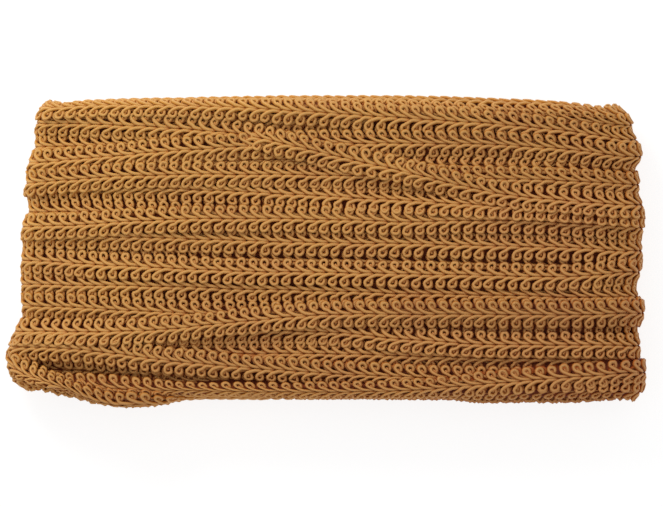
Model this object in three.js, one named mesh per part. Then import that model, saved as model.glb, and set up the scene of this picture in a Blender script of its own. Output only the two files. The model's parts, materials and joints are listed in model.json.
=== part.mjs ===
// A flat pack of scroll braid, wound lengthwise: one closed body with the ridges of its turns.
// Millimetres. +X is the long side, +Y the way across the turns, +Z up from the table.
import * as THREE from "three";
import { mergeVertices } from "three/addons/utils/BufferGeometryUtils.js";

// Main sizes of the pack
const BRAID_WIDTH = 10.2;      // edge to edge of the braid, over both rows of scrolls
const BRAID_THICK = 1.9;       // two crossing cords
const TOP_Z = 26.2;            // height of the upper face, over its highest turns
const MID_Z = 12.6;            // height of the middle layer
const APEX_Z = 11.4;           // height at which a turn doubles back at either end
const EDGE_ROLL = 7;           // how round the two long edges are
const END_PULL = 0.45;         // how much of that rounding the corners take in plan
const UNDER_PRESS = 1.3;       // how far the table presses the lower turns flat
const SIDE_GROOVE = 0.5;       // depth of the layers' grooves on the long sides
const UNDER_HALF = 53;         // half the width of the face it lies on
const SIDE_MIDDLE = 53;        // how far out the middle layer of the long sides lies
const LEVEL_OVER = 11;         // half the width over which the pack stays level
const LEVELLING = 0.8;         // share of the wide rise and fall taken out
const CREST = 2.2;             // rise of the highest turns over the level of the pack
const EDGE_OUT = 1.15;         // the long edges' lie under the plan outline, given back
const END_RELIEF = 0.55;       // share of the ridges left where turns double back
const ROWS_ACROSS = 78;
const SIDE_ROWS = 3;
const FINE = 0.5;              // step of the sums across the turns

// Where each visible turn's middle lies across the pack, at nine places along it.
// The rows go from the lowest turn to the one laid last, on top of what it crosses.
const PLACES = [-107, -85, -60, -30, 0, 30, 60, 85, 109];
const TURNS = [
  { turn: "edge_top", y: [54.1, 55, 55.6, 55.8, 55.8, 55.6, 54.5, 53.4, 52] },
  { turn: "under_a", y: [52.7, 53.1, 53.1, 53.1, 52.7, 52, 50.1, 50.2, 48.7] },
  { turn: "deep_q", y: [47.3, 47.7, 47.8, 48.1, 48.4, 48.4, 47.7, 47, 45.9] },
  { turn: "under_c", y: [37.9, 38.3, 39, 40.8, 41, 41, 40.6, 39, 37] },
  { turn: "deep_t", y: [29.7, 30.4, 31.5, 33.3, 33.3, 31.1, 29.5, 29.1, 27.5] },
  { turn: "under_f", y: [14.5, 14.5, 13.6, 12.7, 12.4, 12, 12, 12, 11] },
  { turn: "under_k", y: [-36, -38, -39.8, -42, -44, -45, -46, -46, -46] },
  { turn: "deep_l", y: [-35.1, -35.5, -36.2, -36.6, -36.6, -37.4, -38.2, -38.6, -39.1] },
  { turn: "edge_low", y: [-50, -52.5, -53, -53, -52.5, -52, -51, -50.3, -49.9] },
  { turn: "h", y: [-11.7, -12, -12.3, -13.3, -14, -15, -15.5, -16.2, -16.3] },
  { turn: "low_f", y: [6.1, 5.7, 5.1, 4.1, 3.3, 3, 2.2, 1.7, 0.4] },
  { turn: "i", y: [-19.4, -20.3, -21.6, -22.5, -22.2, -21.5, -21.5, -21.5, -21] },
  { turn: "under_j", y: [-30.8, -30.1, -29, -28.3, -28.8, -31.5, -33.3, -33.4, -33.7] },
  { turn: "a", y: [53.1, 53.3, 53.3, 52.3, 50.2, 48.1, 46.2, 43.8, 40.5] },
  { turn: "c", y: [32.2, 33.9, 36.1, 38, 39.1, 39.1, 38.7, 37.1, 34.4] },
  { turn: "f", y: [9.1, 10.1, 11.6, 12.1, 11.7, 10.9, 11.5, 10.6, 9.1] },
  { turn: "g", y: [-3, -4.4, -5.6, -6.9, -7.3, -7.9, -8.4, -8.9, -7.2] },
  { turn: "k", y: [-34.2, -35.5, -38.7, -41.5, -43.6, -45, -45.9, -46, -46] },
  { turn: "j", y: [-28.6, -28.7, -27.9, -24.9, -22.5, -22.4, -22.4, -22.6, -22] },
  { turn: "low_d", y: [23.2, 23.2, 23, 21.7, 20.1, 18.5, 16.7, 15.6, 13.8] },
  { turn: "d", y: [24.8, 26.7, 27.8, 28, 27.7, 27.1, 26.4, 25.8, 24.4] },
  { turn: "m", y: [-47.5, -48.9, -50.3, -51, -51, -49.9, -47.2, -45.2, -43.5] },
  { turn: "b", y: [46.6, 46.1, 44.9, 42.2, 35.4, 28.5, 21.5, 18.6, 17] },
  { turn: "slack", y: [-45.4, -53.2, -53.7, -52.6, -52.2, -52, -52, -52, -52] },
];

// Plan outline: the two ends, at heights across the pack, and the two long edges, along it
const ENDS = [
  { y: -54, left: -106, right: 111 }, { y: -49, left: -111.5, right: 113.4 },
  { y: -43, left: -113.8, right: 114.4 }, { y: -37, left: -114.9, right: 114 },
  { y: -31, left: -112.4, right: 113 }, { y: -24, left: -110.4, right: 113.4 },
  { y: -19, left: -109.6, right: 113 }, { y: -13.6, left: -109.8, right: 110.4 },
  { y: -8.5, left: -110, right: 112.4 }, { y: -3, left: -109.8, right: 113.6 },
  { y: 3, left: -109.8, right: 113.7 }, { y: 10, left: -108.6, right: 113.4 },
  { y: 16, left: -107.6, right: 113.2 }, { y: 21, left: -108.9, right: 112.7 },
  { y: 26, left: -106.9, right: 112.4 }, { y: 30.5, left: -107.4, right: 111.2 },
  { y: 35, left: -106, right: 113 }, { y: 39, left: -105.4, right: 112.3 },
  { y: 43.5, left: -105.6, right: 110 }, { y: 48, left: -103.6, right: 109.6 },
  { y: 54, left: -102.4, right: 106 },
];
const LONG_EDGES = [
  { x: -112, top: 52, low: -48.8 }, { x: -106, top: 52, low: -50.2 },
  { x: -100, top: 53, low: -51.6 }, { x: -93, top: 54.4, low: -52.8 },
  { x: -89, top: 54.6, low: -54.4 }, { x: -82, top: 54.7, low: -55.6 },
  { x: -77, top: 54.8, low: -56.1 }, { x: -70, top: 55, low: -55.6 },
  { x: -62, top: 55.1, low: -54.3 }, { x: -55, top: 55.1, low: -52.6 },
  { x: -46, top: 55.4, low: -52.2 }, { x: -16, top: 56, low: -52.8 },
  { x: 30, top: 56, low: -53 }, { x: 48, top: 55.7, low: -53.3 },
  { x: 58, top: 55.3, low: -54.2 }, { x: 84, top: 54.3, low: -54.2 },
  { x: 98, top: 53.2, low: -54 }, { x: 106, top: 52, low: -53.6 },
  { x: 114, top: 51, low: -53 },
];

// How far the surface has fallen from its highest, at distances in from either end
const FALL = [
  { end: "left_upper", at: [0, 0.5, 2, 5, 12, 20, 30, 42, 55], z: [14.8, 12.6, 10.3, 8.4, 6, 3.8, 1.9, 0.5, 0] },
  { end: "right_upper", at: [0, 0.4, 1.4, 3.5, 7, 12, 18, 26], z: [14.8, 10.6, 7.4, 4.6, 2.3, 0.9, 0.2, 0] },
  { end: "left_under", at: [0, 0.5, 2, 5, 10, 17, 26], z: [11.4, 8.8, 5.8, 3.3, 1.5, 0.4, 0] },
  { end: "right_under", at: [0, 0.4, 1.4, 3.5, 7, 12, 18], z: [11.4, 8.4, 5.6, 3.2, 1.4, 0.3, 0] },
];
// Shares of the length at which the body has a column of points
const COLUMNS = [0, 0.003, 0.011, 0.026, 0.05, 0.085, 0.12, 0.155, 0.19, 0.225, 0.26, 0.295, 0.33,
  0.365, 0.4, 0.435, 0.47, 0.505, 0.54, 0.575, 0.61, 0.645, 0.68, 0.715, 0.75, 0.785, 0.82, 0.855,
  0.89, 0.92, 0.948, 0.97, 0.985, 0.995, 1];

// A table read between its rows
function between(at, values, x) {
  if (x <= at[0]) return values[0];
  for (let i = 1; i < at.length; i += 1) {
    if (x <= at[i]) {
      const t = (x - at[i - 1]) / (at[i] - at[i - 1]);
      return values[i - 1] + t * (values[i] - values[i - 1]);
    }
  }
  return values[values.length - 1];
}
const column = (rows, name) => rows.map((row) => row[name]);
const endX = (side, y) => between(column(ENDS, "y"), column(ENDS, side), y);
const edgeY = (side, x) => between(column(LONG_EDGES, "x"), column(LONG_EDGES, side), x);
const fall = (name, d) => {
  const row = FALL.find((r) => r.end === name);
  return between(row.at, row.z, d);
};

// Way across the pack measured over the rounded long edge, and back
const HALF = 56;
const FLAT_HALF = HALF - EDGE_ROLL;
const REACH = FLAT_HALF + EDGE_ROLL * Math.PI / 2;
function unroll(y) {
  const over = Math.min(1, Math.max(0, (Math.abs(y) - FLAT_HALF) / EDGE_ROLL));
  return Math.sign(y) * (Math.min(Math.abs(y), FLAT_HALF) + EDGE_ROLL * Math.asin(over));
}
function rollAngle(v) {
  return Math.min(Math.PI / 2, Math.max(0, (Math.abs(v) - FLAT_HALF) / EDGE_ROLL));
}

// Height of the stacked turns over the core at one row of places, turn laid over turn
const SAMPLES = Math.round(2 * REACH / FINE) + 1;
const sampleV = (k) => -REACH + k * FINE;
function crown(dv) {
  const t = Math.min(1, Math.abs(dv) / (BRAID_WIDTH / 2));
  return BRAID_THICK * (1 - t ** 4);
}
// Mean height and slope of what lies under a turn
function bed(heights, centre) {
  let n = 0, sum = 0, vv = 0, vh = 0;
  for (let k = 0; k < SAMPLES; k += 1) {
    const dv = sampleV(k) - centre;
    if (Math.abs(dv) <= BRAID_WIDTH / 2) {
      n += 1; sum += heights[k]; vv += dv * dv; vh += dv * heights[k];
    }
  }
  if (n < 3) return { level: 0, slope: 0 };
  return { level: sum / n, slope: THREE.MathUtils.clamp(vh / vv, -0.4, 0.4) };
}
const eased = (list, i) => (list[Math.max(0, i - 1)] + 2 * list[i]
  + list[Math.min(list.length - 1, i + 1)]) / 4;
function stacked(paths) {
  const field = COLUMNS.map(() => new Array(SAMPLES).fill(0));
  for (const path of paths) {
    const beds = path.map((centre, i) => bed(field[i], centre));
    const levels = beds.map((b) => b.level);
    const slopes = beds.map((b) => b.slope);
    path.forEach((centre, i) => {
      const level = eased(levels, i), slope = eased(slopes, i);
      for (let k = 0; k < SAMPLES; k += 1) {
        const dv = sampleV(k) - centre;
        if (Math.abs(dv) > BRAID_WIDTH / 2) continue;
        field[i][k] = Math.max(field[i][k], level + slope * dv + crown(dv));
      }
    });
  }
  return field;
}

// The turns' paths on the upper face, and on the under face, where each goes on to the next one
function paths() {
  const xs = COLUMNS.map((share) => -110 + share * 223);
  const upper = TURNS.map((row) => xs.map((x) => unroll(between(PLACES, row.y, x))));
  const order = TURNS.map((row, i) => i).sort((a, b) => TURNS[b].y[0] - TURNS[a].y[0]);
  const last = PLACES.length - 1;
  const under = TURNS.map((row, i) => {
    const next = TURNS[order[Math.min(order.length - 1, order.indexOf(i) + 1)]];
    return COLUMNS.map((share) => unroll(next.y[0] + share * (row.y[last] - next.y[0])));
  });
  return { upper, under };
}
const { upper: UPPER_PATHS, under: UNDER_PATHS } = paths();

// The turns stand out from their neighbours; the pack as a whole stays level, as what lies
// deeper fills it up, so most of the wide rise and fall of the stack is taken out again.
function levelled(field) {
  const wide = Math.round(LEVEL_OVER / FINE);
  return field.map((heights) => heights.map((h, k) => {
    let sum = 0;
    for (let m = -wide; m <= wide; m += 1) sum += heights[Math.min(SAMPLES - 1, Math.max(0, k + m))];
    return h - LEVELLING * sum / (2 * wide + 1);
  }));
}
const UPPER = levelled(stacked(UPPER_PATHS));
const UNDER = levelled(stacked(UNDER_PATHS));

// Depth of the surface below the highest turns, at a column and a way across
function depth(field, i, v) {
  const k = THREE.MathUtils.clamp((v + REACH) / FINE, 0, SAMPLES - 1.001);
  const j = Math.floor(k);
  return CREST - (field[i][j] + (k - j) * (field[i][j + 1] - field[i][j]));
}
function depthOf(face, i, v) {
  const upper = depth(UPPER, i, v);
  const share = COLUMNS[i];
  const near = share < 0.5 ? 0 : COLUMNS.length - 1;
  const w = THREE.MathUtils.clamp(1 - Math.min(share, 1 - share) / 0.12, 0, 1);
  const flat = face === "upper" ? upper : w * depth(UPPER, near, v) + (1 - w) * depth(UNDER, i, v);
  const tip = THREE.MathUtils.clamp(1 - Math.min(share, 1 - share) / 0.03, 0, 1);
  return flat * (1 - tip * (1 - END_RELIEF));
}

// The smooth surface under the turns: a flat loop, its long edges rolled over. The side share
// runs from 0 at the foot of a rolled edge to 1 at the middle layer of the long side.
function smooth(face, share, v, side) {
  const angle = rollAngle(v);
  const inset = EDGE_ROLL * (1 - Math.cos(angle));
  const y0 = Math.sign(v) * (Math.min(Math.abs(v), FLAT_HALF) + EDGE_ROLL * Math.sin(angle));
  const left = endX("left", y0), right = endX("right", y0);
  const x = left + share * (right - left);
  const plan = edgeY(v < 0 ? "low" : "top", x);
  const edge = face === "upper" ? plan : Math.sign(v) * Math.min(UNDER_HALF, Math.abs(plan));
  const near = THREE.MathUtils.clamp((Math.abs(y0) - 44) / (HALF - 44), 0, 1);
  const y = y0 + near * (edge - Math.sign(v) * (HALF - EDGE_OUT));
  const gone = fall("left_" + face, x - left) + fall("right_" + face, right - x);
  const z = face === "upper" ? Math.max(APEX_Z, TOP_Z - gone) : Math.min(APEX_Z, gone);
  const squeeze = (1 - inset / (TOP_Z / 2)) * (1 - 0.85 * side);
  return new THREE.Vector3(x * (1 - END_PULL * inset / 115), y, MID_Z + (z - MID_Z) * squeeze);
}

// Outward direction of that smooth surface
function outward(face, share, v) {
  const angle = rollAngle(v);
  let nx = share < 0.5 ? -1 : 1, nz = 0;
  if (share > 0.001 && share < 0.999) {
    const step = smooth(face, share + 0.0005, v, 0).sub(smooth(face, share - 0.0005, v, 0));
    const up = face === "upper" ? 1 : -1;
    const length = Math.hypot(step.x, step.z);
    nx = -up * step.z / length;
    nz = up * step.x / length;
  }
  const c = Math.cos(angle);
  return new THREE.Vector3(nx * c, Math.sign(v) * Math.sin(angle), nz * c);
}

// A point of the finished surface
function surface(face, i, v, side) {
  const share = COLUMNS[i];
  const p = smooth(face, share, v, side);
  const sink = depthOf(face, i, v) * (1 - 0.55 * rollAngle(v) / (Math.PI / 2));
  p.addScaledVector(outward(face, share, v), -sink);
  if (face === "under") p.z -= UNDER_PRESS * Math.min(1, Math.min(share, 1 - share) / 0.05);
  p.z = Math.max(0, p.z);
  return p;
}

// The body: a closed cylinder whose rows run across the pack and whose columns run around it
function body() {
  const half = COLUMNS.length - 1, round = 2 * half;
  const rows = ROWS_ACROSS - 1 + 2 * SIDE_ROWS;
  const drum = new THREE.CylinderGeometry(1, 1, 1, round, rows, false, -Math.PI / 2);
  drum.deleteAttribute("normal");
  drum.deleteAttribute("uv");
  const shape = mergeVertices(drum, 1e-6);
  const position = shape.getAttribute("position");
  for (let k = 0; k < position.count; k += 1) {
    const [x, y, z] = [position.getX(k), position.getY(k), position.getZ(k)];
    const row = Math.round((y + 0.5) * rows) - SIDE_ROWS;
    const v = REACH * THREE.MathUtils.clamp(2 * row / (ROWS_ACROSS - 1) - 1, -1, 1);
    const layer = Math.max(0, -row, row - ROWS_ACROSS + 1);
    const turn = (Math.atan2(x, z) + Math.PI / 2 + 2 * Math.PI) % (2 * Math.PI);
    const c = Math.round(turn / (2 * Math.PI) * round) % round;
    const face = c <= half ? "upper" : "under";
    const p = surface(face, c <= half ? c : round - c, v, layer / SIDE_ROWS);
    if (Math.hypot(x, z) < 0.5) p.set(0, Math.sign(v) * SIDE_MIDDLE, MID_Z);
    else if (layer) p.y += Math.sign(v) * SIDE_GROOVE * (layer % 2 ? -1 : 0);
    position.setXYZ(k, p.x, p.y, p.z);
  }
  shape.computeVertexNormals();
  return shape;
}

const ribbon = new THREE.Group();
const finish = new THREE.MeshStandardMaterial({ color: 0xc08a4b, roughness: 0.85, metalness: 0 });
const pack = new THREE.Mesh(body(), finish);
pack.name = "wound_braid";
ribbon.add(pack);

export default ribbon;
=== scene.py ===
# %% [markdown]
# # A flat pack of scroll gimp braid
# The real thing is a narrow upholstery braid: two rows of cord scrolls that share one spine, wound
# lengthwise into a flat pack about 230 mm long. The solid of the pack already has the ridges of the
# turns. This script dresses it with the cord itself, scroll by scroll, and gives it its finish.

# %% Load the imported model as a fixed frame
import json
import math
import random
import bpy
import bmesh
import numpy as np
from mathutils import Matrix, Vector

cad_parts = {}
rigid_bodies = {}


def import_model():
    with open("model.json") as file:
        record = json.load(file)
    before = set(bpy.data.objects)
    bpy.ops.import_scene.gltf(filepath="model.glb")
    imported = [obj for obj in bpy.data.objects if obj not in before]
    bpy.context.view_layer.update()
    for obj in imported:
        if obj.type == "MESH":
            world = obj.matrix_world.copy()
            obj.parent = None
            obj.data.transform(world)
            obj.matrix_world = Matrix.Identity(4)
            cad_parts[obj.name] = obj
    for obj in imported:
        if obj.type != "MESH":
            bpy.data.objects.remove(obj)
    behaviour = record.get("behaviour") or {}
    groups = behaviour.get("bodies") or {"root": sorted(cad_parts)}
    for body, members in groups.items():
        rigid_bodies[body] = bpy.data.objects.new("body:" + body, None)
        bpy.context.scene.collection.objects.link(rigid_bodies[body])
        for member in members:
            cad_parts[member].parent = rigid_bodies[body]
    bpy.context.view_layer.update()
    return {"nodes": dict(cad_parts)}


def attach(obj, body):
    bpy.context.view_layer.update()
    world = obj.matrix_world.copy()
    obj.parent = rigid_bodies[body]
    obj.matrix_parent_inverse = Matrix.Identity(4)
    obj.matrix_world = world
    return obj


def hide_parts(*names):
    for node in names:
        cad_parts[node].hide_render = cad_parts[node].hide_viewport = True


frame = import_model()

MM = 0.001

# %% [markdown]
# ## Camera
# The photograph looks straight down on the pack from far off, so the lens is long and the camera
# stands high above it. Its distance is set so that one pixel of the photograph is 0.36 mm at the
# height of the upper turns.

# %% Camera straight above the pack
PHOTO_WIDE = 663                         # pixels
PIXEL = 0.36 * MM
OVER = (1.75 * MM, -0.4 * MM)            # the place on the pack under the photograph's middle
CAMERA_HIGH = 2.6                        # above the upper turns
FACE_HIGH = 24 * MM
SENSOR = 36.0
camera_data = bpy.data.cameras.new("camera")
camera = bpy.data.objects.new("camera", camera_data)
bpy.context.scene.collection.objects.link(camera)
camera.location = (*OVER, CAMERA_HIGH + FACE_HIGH)
camera_data.sensor_width = SENSOR
camera_data.lens = SENSOR * CAMERA_HIGH / (PHOTO_WIDE * PIXEL)
camera_data.clip_start = 0.01
bpy.context.scene.camera = camera
print("lens, mm:", round(camera_data.lens, 1))

# %% [markdown]
# ## The way the pack is wound
# A turn runs along the upper face, doubles back at the right end, runs under the pack, and comes up
# at the left end as the next turn. A short table says where the middle of each turn lies across
# the pack, read at nine places along it. Its rows go from the turn laid first to the one laid
# last, so they also say which turn lies on which. Drawing every turn by hand would hide that order.

# %% Sizes of the braid and of the pack, in millimetres
BRAID_WIDTH, BRAID_THICK = 10.2, 1.9
TOP_Z, MID_Z = 26.2, 12.6                # heights of the upper face and of the middle layer
HALF, UNDER_HALF = 56.0, 53.0            # half the width of the pack, and of its under face
HALF_LENGTH = 115
EDGE_ROLL = 7.0                          # radius of the long edges
END_PULL = 0.45                          # how much of that rounding the corners take in plan
FLAT_HALF = HALF - EDGE_ROLL
REACH = FLAT_HALF + EDGE_ROLL * math.pi / 2      # the way across, to the rim
EDGE_OUT = 1.15                          # how far the smooth long edge lies outside the outline
EDGE_FROM = 44                           # from here outwards the wavy long edges are felt
CREST = 2.2                              # rise of the highest turns over the level of the pack
LEVEL_OVER = 11.0                        # half the width over which the pack stays level
LEVELLING = 0.8                          # share of the wide rise and fall taken out
PITCH_DRIFT = 0.05                       # the braid is drawn a little tighter on the left

PLACES = [-107, -85, -60, -30, 0, 30, 60, 85, 109]
TURNS = {
    "edge_top": [51.6, 54.7, 55.6, 55.8, 55.8, 55.6, 54.5, 53.2, 48.6],
    "under_a": [50.6, 53, 53.1, 53.1, 52.7, 52, 50.1, 50.2, 48.7],
    "deep_q": [47.3, 47.7, 47.8, 48.1, 48.4, 48.4, 47.7, 47, 45.9],
    "under_c": [37.9, 38.3, 39, 40.8, 41, 41, 40.6, 39, 37],
    "deep_t": [29.7, 30.4, 31.5, 33.3, 33.3, 31.1, 29.5, 29.1, 27.5],
    "under_f": [14.5, 14.5, 13.6, 12.7, 12.4, 12, 12, 12, 11],
    "deep_l": [-35.1, -35.5, -36.2, -36.6, -36.6, -37.4, -38.2, -38.6, -39.1],
    "edge_low": [-46.8, -51.4, -53, -53, -52.5, -52, -51, -50.3, -49.9],
    "h": [-11.7, -12, -12.3, -13.3, -14, -15, -15.5, -16.2, -16.3],
    "low_f": [6.1, 5.7, 5.1, 4.1, 3.3, 3, 2.2, 1.7, 0.4],
    "under_k": [-36, -38, -39.8, -42, -44, -45, -46, -46, -46],
    "i": [-19.4, -20.3, -21.6, -22.5, -22.2, -21.5, -21.5, -21.5, -21],
    "under_j": [-30.8, -30.1, -29, -28.3, -28.8, -31.5, -33.3, -33.4, -33.7],
    "a": [51.2, 53.2, 53.3, 52.3, 50.2, 48.1, 46.2, 43.8, 40.5],
    "c": [32.2, 33.9, 36.1, 38, 39.1, 39.1, 38.7, 37.1, 34.4],
    "f": [9.1, 10.1, 11.6, 12.1, 11.7, 10.9, 11.5, 10.6, 9.1],
    "g": [-3, -4.4, -5.6, -6.9, -7.3, -7.9, -8.4, -8.9, -7.2],
    "k": [-34.2, -35.5, -38.7, -41.5, -43.6, -45, -45.9, -46, -46],
    "j": [-28.6, -28.7, -27.9, -24.9, -22.5, -22.4, -22.4, -22.6, -22],
    "low_d": [23.2, 23.2, 23, 21.7, 20.1, 18.5, 16.7, 15.6, 13.8],
    "d": [24.8, 26.7, 27.8, 28, 27.7, 27.1, 26.4, 25.8, 24.4],
    "m": [-45.6, -48.7, -50.1, -50.6, -50.6, -49.7, -47.2, -45.2, -43.5],
    "b": [46.6, 46.1, 44.9, 42.2, 35.4, 28.5, 21.5, 18.6, 17],
    "slack": [-45.4, -53.2, -53.7, -52.6, -52.2, -52, -52, -52, -52],
}
# The slack turn swings out past the corner and then slips down the long side. Its place is
# given along the pack and across it, measured over the rounded edge.
SLACK = [(-114, -37.4), (-112.2, -40.2), (-108.6, -43.6), (-103.9, -46.4), (-99.6, -48.4),
         (-95.3, -50.2), (-90.6, -51.9), (-85.9, -53.2), (-81.6, -54.2), (-76.2, -55), (-69, -55),
         (-63, -57.5), (-57, -61), (-50, -64), (-44, -66), (-36, -69), (-28, -71), (-20, -73),
         (114, -73)]
SLACK_FROM, SLACK_LONG = -112.5, 225.5   # where the slack turn starts, and how far it goes
SLACK_UNDER = 0.5 - 24 / 225             # share of its way after which it is under the pack
SLACK_LEFT_OVER = 60                     # length of it that shows on the under face, on the left
SLACK_LIFT = 3.0                         # how far it stands off the turn it crosses
LOOSE_START, LOOSE_END, LOOSE_FADE = 0.04, 0.235, 0.06   # shares between which it lies loose
print(len(TURNS), "turns on the upper face")

# %% Plan outline of the pack and the fall of its faces towards the ends
# Across the pack: where its left and right ends lie.
ENDS = np.array([
    (-54, -108, 112), (-49, -112.2, 113.6), (-43, -113.8, 113.4), (-37, -114.9, 112.9),
    (-31, -112.4, 113), (-24, -110.4, 113.4), (-19, -109.6, 113), (-13.6, -109.8, 111.8),
    (-8.5, -110, 112.4), (-3, -109.8, 113.6), (3, -109.8, 113.7), (10, -108.6, 113.4),
    (16, -107.6, 113.2), (21, -108.9, 112.7), (26, -106.9, 112.4), (30.5, -107.4, 111.2),
    (35, -106, 113), (39, -105.4, 112.3), (43.5, -105.6, 110), (48, -103.6, 109.6),
    (54, -102.4, 106)])
# Along the pack: how far out its upper and lower long edges lie.
LONG_EDGES = np.array([
    (-112, 52, -48.8), (-106, 52, -50.2), (-100, 53, -51.6), (-93, 54.4, -52.8),
    (-89, 54.6, -54.4), (-82, 54.7, -55.6), (-77, 54.8, -56.1), (-70, 55, -55.6),
    (-62, 55.1, -54.3), (-55, 55.1, -52.6), (-46, 55.4, -52.2), (-16, 56, -52.8),
    (30, 56, -53), (48, 55.7, -53.3), (58, 55.3, -54.2), (84, 54.3, -54.2),
    (98, 53.2, -54), (106, 52, -53.6), (114, 51, -53)])
# Height at distances in from an end, from the under face, round the end, to the upper face.
END_LEFT = [(26, 0), (17, 0.4), (10, 1.5), (5, 3.3), (2, 5.8), (0.5, 8.8), (0, 11.4),
            (0.5, 13.6), (2, 15.9), (5, 17.8), (12, 20.2), (20, 22.4), (30, 24.3), (42, 25.7),
            (55, 26.2)]
END_RIGHT = [(18, 0), (12, 0.3), (7, 1.4), (3.5, 3.2), (1.4, 5.6), (0.4, 8.4), (0, 11.4),
             (0.4, 15.6), (1.4, 18.8), (3.5, 21.6), (7, 23.9), (12, 25.3), (18, 26), (26, 26.2)]


def smooth_line(points, steps):
    """A smooth line through points: each piece bends to suit its neighbours."""
    p = np.asarray(points, float)
    p = np.vstack([2 * p[0] - p[1], p, 2 * p[-1] - p[-2]])
    t = np.linspace(0, 1, steps, endpoint=False)[:, None]
    pieces = [0.5 * (2 * b + (c - a) * t + (2 * a - 5 * b + 4 * c - d) * t ** 2
                     + (3 * b - a - 3 * c + d) * t ** 3)
              for a, b, c, d in zip(p, p[1:], p[2:], p[3:])]
    return np.vstack(pieces + [p[-2:-1]])


def end_profile(points):
    """For one end: distance in, height and lean of the face, for the under and the upper face."""
    line = smooth_line(points, 24)
    apex = 24 * [d for d, _ in points].index(0)
    sides = {}
    for face, part in (("under", slice(apex, None, -1)), ("upper", slice(apex, None))):
        d, z = line[part, 0], line[part, 1]
        d = np.maximum.accumulate(np.maximum(d, 0)) + np.arange(len(d)) * 1e-7
        sides[face] = (d, z, np.arctan2(*_facing(d, z, face)))
    return sides


def _facing(d, z, face):
    """Up and outward parts of the direction that a face looks in."""
    dd, dz = np.gradient(d), np.gradient(z)
    length = np.hypot(dd, dz) + 1e-12
    up = dd / length * (1 if face == "upper" else -1)
    out = np.abs(dz) / length
    up[0], out[0] = 0.0, 1.0
    return up, out


PROFILE = {"left": end_profile(END_LEFT), "right": end_profile(END_RIGHT)}
print("end profiles:", {k: len(v["upper"][0]) for k, v in PROFILE.items()})


# %% [markdown]
# ## The smooth surface that the turns follow
# Every scroll has to lie on the pack, round its long edges and round its ends. So one function
# turns a place on the pack (how far along, how far across) into a point and the direction that
# points out of the pack there. Anything can then be made flat and laid on the pack with it.

# %% A place on the pack as a point and an outward direction
def ends_at(y):
    """Where the left and the right end lie, seen from above."""
    return [np.interp(y, ENDS[:, 0], ENDS[:, k]) for k in (1, 2)]


def long_edge(x, side):
    """How far out the upper or the lower long edge lies, seen from above."""
    return np.where(side < 0, np.interp(x, LONG_EDGES[:, 0], LONG_EDGES[:, 2]),
                    np.interp(x, LONG_EDGES[:, 0], LONG_EDGES[:, 1]))


def across_from_y(x, y):
    """The way across, measured over the rounded long edge, of a point seen from above."""
    shift = np.abs(long_edge(x, y)) - (HALF - EDGE_OUT)
    y0 = np.abs(y)
    for _ in range(6):
        y0 = np.abs(y) - np.clip((y0 - EDGE_FROM) / (HALF - EDGE_FROM), 0, 1) * shift
    over = np.clip((y0 - FLAT_HALF) / EDGE_ROLL, 0, 0.999)
    return np.sign(y) * (np.minimum(y0, FLAT_HALF) + EDGE_ROLL * np.arcsin(over))


def pack_point(under, share, v, squeeze=None):
    """Points of the smooth pack, and outward directions, in millimetres."""
    angle = np.clip((np.abs(v) - FLAT_HALF) / EDGE_ROLL, 0, math.pi / 2)
    over = np.maximum(0, np.abs(v) - REACH)
    side = np.sign(v)
    inset = EDGE_ROLL * (1 - np.cos(angle))
    y0 = side * (np.minimum(np.abs(v), FLAT_HALF) + EDGE_ROLL * np.sin(angle))
    left, right = ends_at(y0)
    x = left + share * (right - left)
    plan = long_edge(x, v)
    plan = np.where(under, side * np.minimum(UNDER_HALF, np.abs(plan)), plan)
    near = np.clip((np.abs(y0) - EDGE_FROM) / (HALF - EDGE_FROM), 0, 1)
    y = y0 + near * (plan - side * (HALF - EDGE_OUT))
    z = np.zeros_like(x)
    nx, nz = np.zeros_like(x), np.zeros_like(x)
    for face, is_face in (("upper", ~under), ("under", under)):
        for end, d, way in (("left", x - left, -1), ("right", right - x, 1)):
            dist, height, facing = PROFILE[end][face]
            here = is_face & ((share < 0.5) if end == "left" else (share >= 0.5))
            z[here] = np.interp(d[here], dist, height)
            turn = np.interp(d[here], dist, facing)
            nx[here], nz[here] = way * np.cos(turn), np.sin(turn)
    part = 1 - inset / (TOP_Z / 2) if squeeze is None else squeeze
    z = MID_Z + (z - MID_Z) * part - np.where(under, -1, 1) * over
    x = x * (1 - END_PULL * inset / HALF_LENGTH)
    c = np.cos(angle)
    return np.stack([x, y, z], 1), np.stack([nx * c, side * np.sin(angle), nz * c], 1)


def near_end(share, over):
    """1 at an end of the pack, falling to 0 over a share of its length."""
    return np.clip(1 - np.minimum(share, 1 - share) / over, 0, 1)


def roll_share(v):
    """How far a place has gone round the long edge: 0 on the flat face, 1 at the rim."""
    return np.clip((np.abs(v) - FLAT_HALF) / EDGE_ROLL / (math.pi / 2), 0, 1)


# %% [markdown]
# ## Laying turn on turn
# The turns aren't flat side by side: each one rests, tilted, on what lies under it. This is worked
# out on a table of heights. For every turn in order, the mean height and slope of what is under it
# are measured, the turn is laid there, and the table is raised. The wide rise and fall is then
# taken out again, because deeper layers fill the pack up.

# %% Heights of the stacked turns
COLUMNS = np.linspace(0, 1, 91)          # shares of the way from the left end to the right one
CELL, MARGIN = 0.5, 12
ACROSS = np.arange(-REACH - MARGIN, REACH + MARGIN + 0.01, CELL)
ROUGH_LEFT, ROUGH_LONG = -110, 223       # the pack's length, before its wavy ends are known
END_BLEND = 0.12                         # share of the length over which the faces are matched
TUCKED_TO = 0.36                         # as far as this turn b is tucked under turn a
CROWN = 4                                # the higher, the flatter the top of a turn
STEEPEST = 0.4                           # slope of a bed
RAISED = {"m": (0.7, 0.15), "edge_low": (0.6, -STEEPEST)}    # extra height, least slope of a bed
TOP_TURN_OVER = 2.2                      # moves the first turn's spine right onto the long edge


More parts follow.
